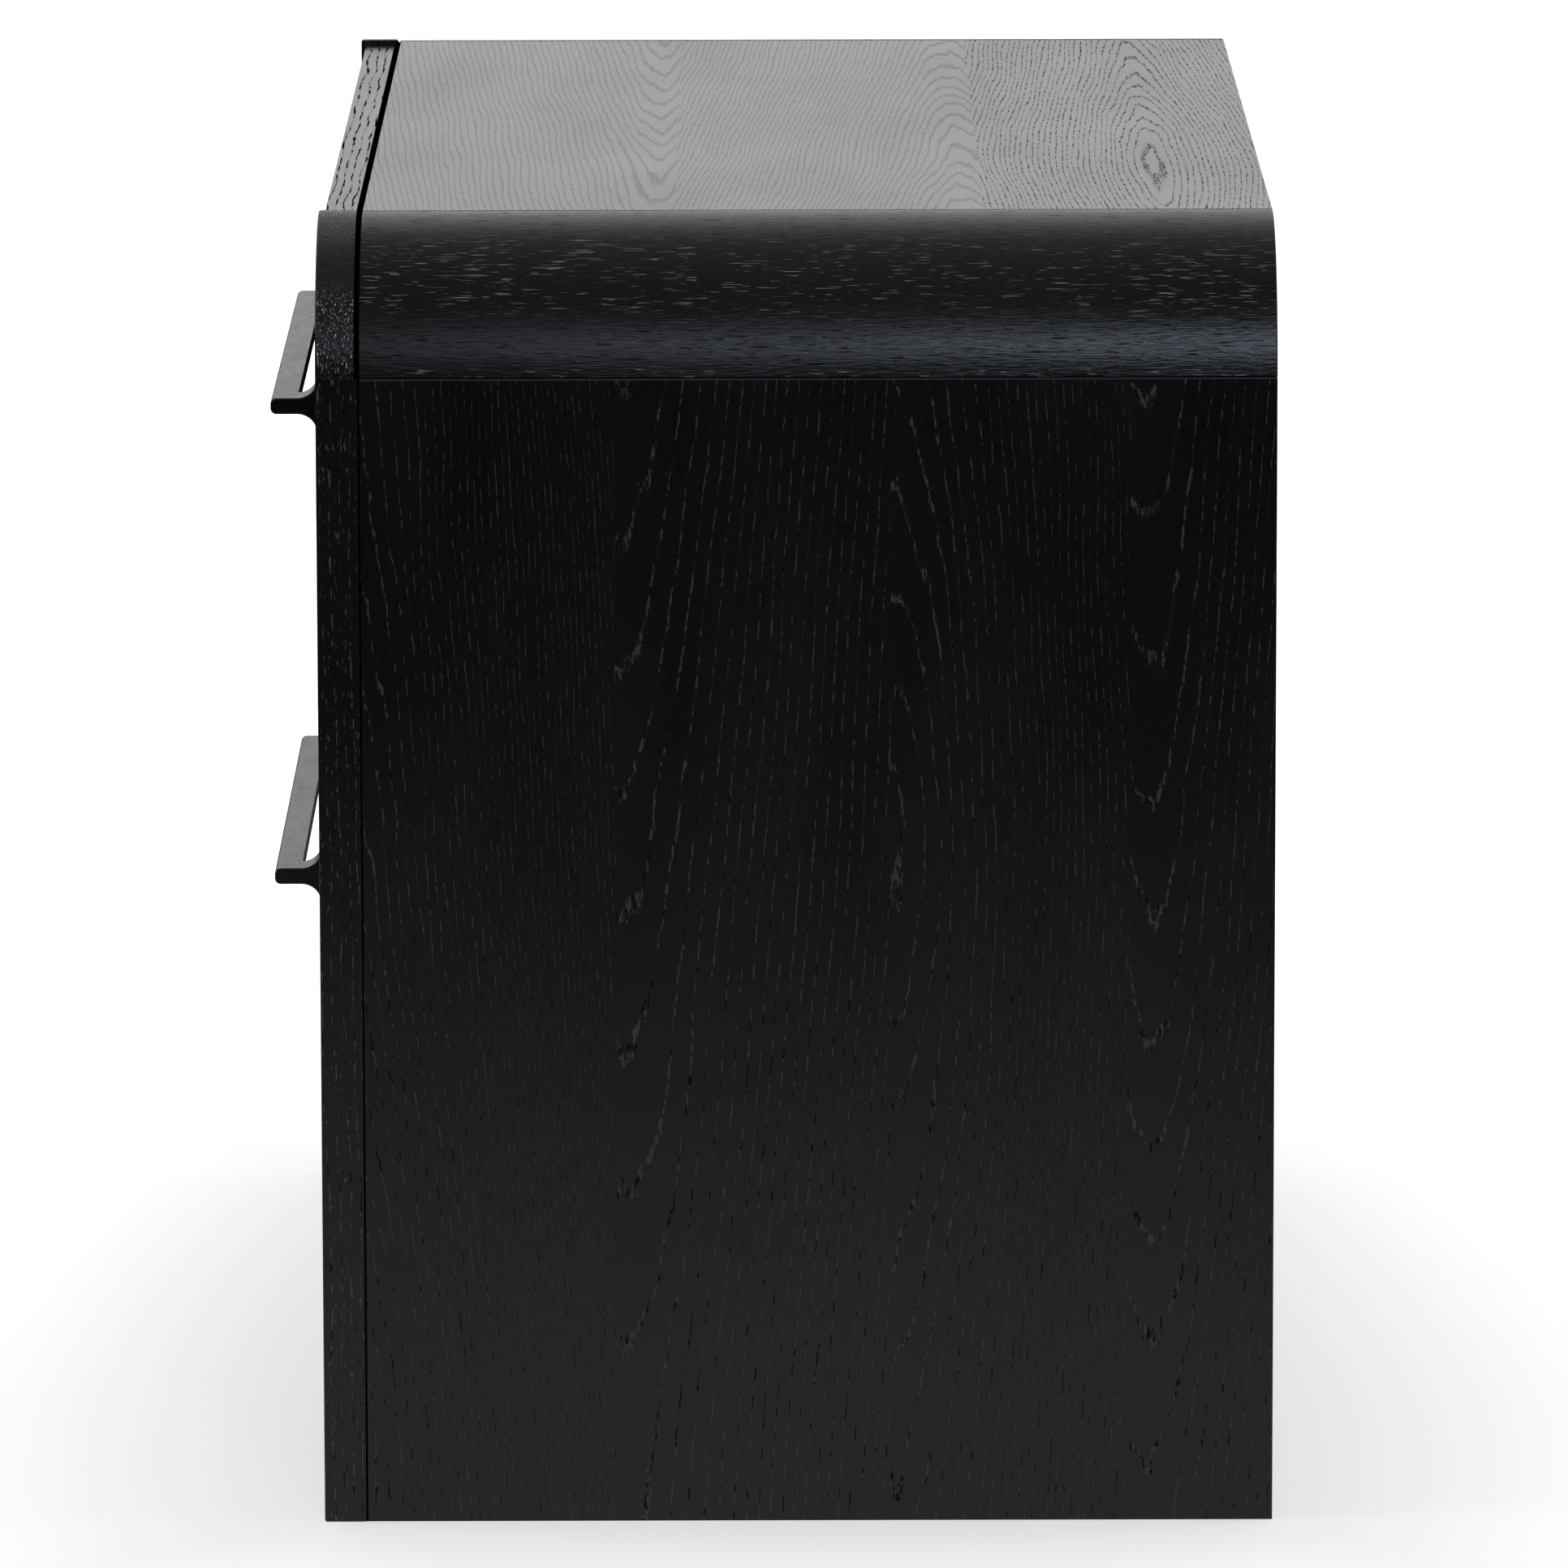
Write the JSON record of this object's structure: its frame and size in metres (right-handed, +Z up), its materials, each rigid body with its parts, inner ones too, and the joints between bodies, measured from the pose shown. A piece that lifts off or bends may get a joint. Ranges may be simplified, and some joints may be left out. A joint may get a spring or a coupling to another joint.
{
  "type": "nightstand",
  "caption": "Wide nightstand in black-stained oak with rounded top corners, a framed front, stacked inset drawers on telescopic runners and slim metal bar handles.",
  "frame": {"origin": "on the floor, at the middle of the width and of the overall depth with the handles included", "axes": "+Z up, the drawer fronts face -Y, and +X is to the right for a viewer who faces the front"},
  "size_m": [0.7, 0.426, 0.55],
  "materials": {
    "stained_oak": "black-stained open-pore oak, matt lacquer",
    "drawer_box_ply": "clear-lacquered birch plywood",
    "back_ply": "black-stained plywood",
    "batten_wood": "planed, unfinished",
    "dowel_beech": "unfinished beech",
    "handle_metal": "fine-textured dark bronze-black coating",
    "runner_steel": "zinc-plated",
    "screw_steel": "zinc-plated"
  },
  "bodies": {
    "case": {"back_panel": "back_ply", "back_panel_screws": "screw_steel", "batten_screws": "screw_steel", "cabinet_member_screws": "screw_steel", "case_dowels": "dowel_beech", "corner_block_left": "stained_oak", "corner_block_right": "stained_oak", "corner_moulding_left": "stained_oak", "corner_moulding_right": "stained_oak", "floor_board": "stained_oak", "front_post_left": "stained_oak", "front_post_right": "stained_oak", "front_rail": "stained_oak", "lower_cabinet_member_left": "runner_steel", "lower_cabinet_member_right": "runner_steel", "lower_runner_batten_left": "batten_wood", "lower_runner_batten_right": "batten_wood", "side_panel_left": "stained_oak", "side_panel_right": "stained_oak", "top_panel": "stained_oak", "upper_cabinet_member_left": "runner_steel", "upper_cabinet_member_right": "runner_steel", "upper_runner_batten_left": "batten_wood", "upper_runner_batten_right": "batten_wood"},
    "lower_drawer": {"lower_box_back": "drawer_box_ply", "lower_box_bottom": "drawer_box_ply", "lower_box_front": "drawer_box_ply", "lower_box_side_left": "drawer_box_ply", "lower_box_side_right": "drawer_box_ply", "lower_drawer_dowels": "dowel_beech", "lower_drawer_front": "stained_oak", "lower_drawer_member_left": "runner_steel", "lower_drawer_member_right": "runner_steel", "lower_drawer_member_screws": "screw_steel", "lower_front_screws": "screw_steel", "lower_handle": "handle_metal", "lower_handle_screws": "screw_steel"},
    "lower_middle_left": {"lower_middle_member_left": "runner_steel"},
    "lower_middle_right": {"lower_middle_member_right": "runner_steel"},
    "upper_drawer": {"upper_box_back": "drawer_box_ply", "upper_box_bottom": "drawer_box_ply", "upper_box_front": "drawer_box_ply", "upper_box_side_left": "drawer_box_ply", "upper_box_side_right": "drawer_box_ply", "upper_drawer_dowels": "dowel_beech", "upper_drawer_front": "stained_oak", "upper_drawer_member_left": "runner_steel", "upper_drawer_member_right": "runner_steel", "upper_drawer_member_screws": "screw_steel", "upper_front_screws": "screw_steel", "upper_handle": "handle_metal", "upper_handle_screws": "screw_steel"},
    "upper_middle_left": {"upper_middle_member_left": "runner_steel"},
    "upper_middle_right": {"upper_middle_member_right": "runner_steel"}
  },
  "joints": [
    {"name": "upper_drawer_slide", "type": "slide", "parent": "case", "child": "upper_drawer", "axis": [0, -1, 0], "range_m": [0, 0.32]},
    {"name": "upper_middle_left_slide", "type": "slide", "parent": "case", "child": "upper_middle_left", "axis": [0, -1, 0], "range_m": [0, 0.16]},
    {"name": "upper_middle_right_slide", "type": "slide", "parent": "case", "child": "upper_middle_right", "axis": [0, -1, 0], "range_m": [0, 0.16]},
    {"name": "lower_drawer_slide", "type": "slide", "parent": "case", "child": "lower_drawer", "axis": [0, -1, 0], "range_m": [0, 0.32]},
    {"name": "lower_middle_left_slide", "type": "slide", "parent": "case", "child": "lower_middle_left", "axis": [0, -1, 0], "range_m": [0, 0.16]},
    {"name": "lower_middle_right_slide", "type": "slide", "parent": "case", "child": "lower_middle_right", "axis": [0, -1, 0], "range_m": [0, 0.16]}
  ],
  "couplings": [
    {"joint": "upper_middle_left_slide", "follows": "upper_drawer_slide", "ratio": 0.5},
    {"joint": "upper_middle_right_slide", "follows": "upper_drawer_slide", "ratio": 0.5},
    {"joint": "lower_middle_left_slide", "follows": "lower_drawer_slide", "ratio": 0.5},
    {"joint": "lower_middle_right_slide", "follows": "lower_drawer_slide", "ratio": 0.5}
  ]
}
